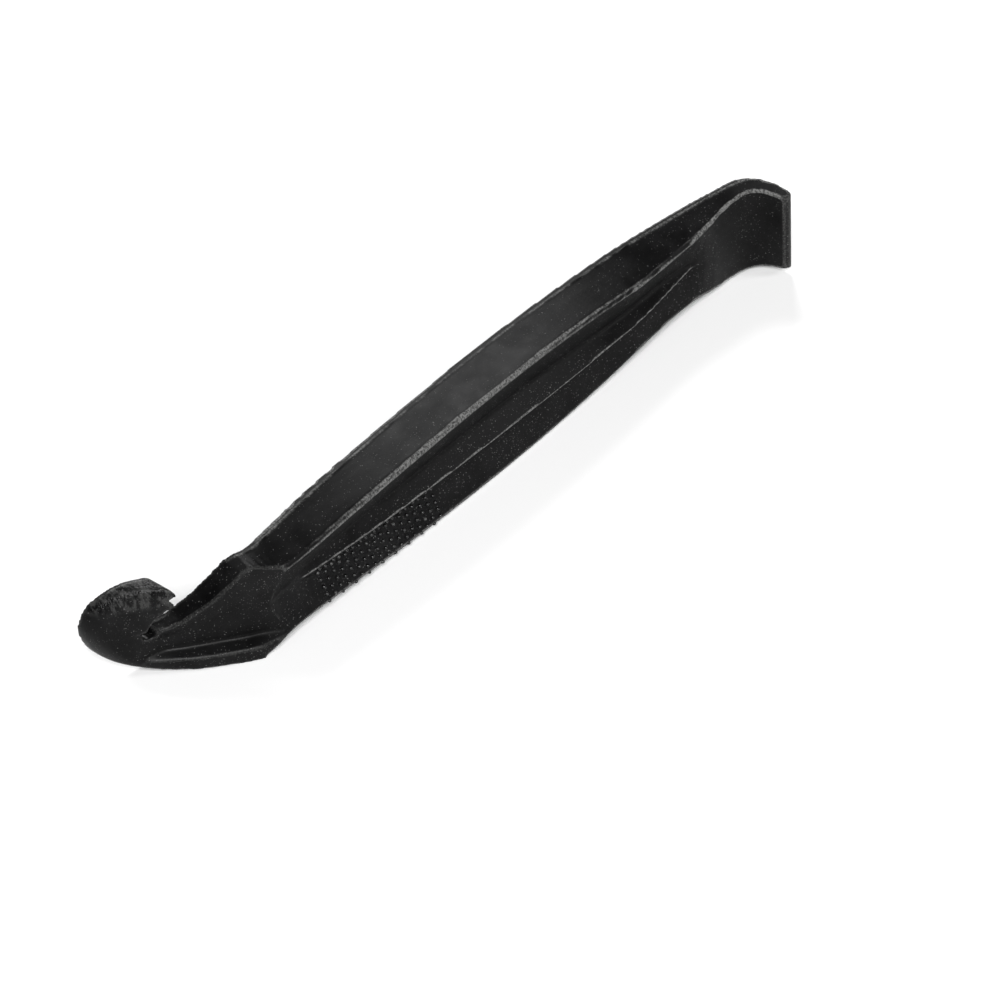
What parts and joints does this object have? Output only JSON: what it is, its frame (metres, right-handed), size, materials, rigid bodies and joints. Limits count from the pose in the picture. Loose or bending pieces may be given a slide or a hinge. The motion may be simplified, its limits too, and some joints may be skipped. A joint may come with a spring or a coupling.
{
  "type": "tyre lever",
  "caption": "Moulded nylon tyre lever with a curled bead lip at one end, a spoke hook at the other, a ridged front, a recessed open back and an inferred steel core rod.",
  "frame": {"origin": "under the middle of the whole lever, at the height of the side wall it stands on", "axes": "+X from the spoke hook to the bead lip, +Y towards the open back, +Z across the width with the hook's mouth facing up"},
  "size_m": [0.1218, 0.0222, 0.0148],
  "materials": {
    "black_nylon": "moulded, fine grain, worn edges",
    "dark_steel": "drawn wire"
  },
  "bodies": {
    "root": {"lever_body": "black_nylon", "steel_core": "dark_steel"}
  },
  "joints": []
}
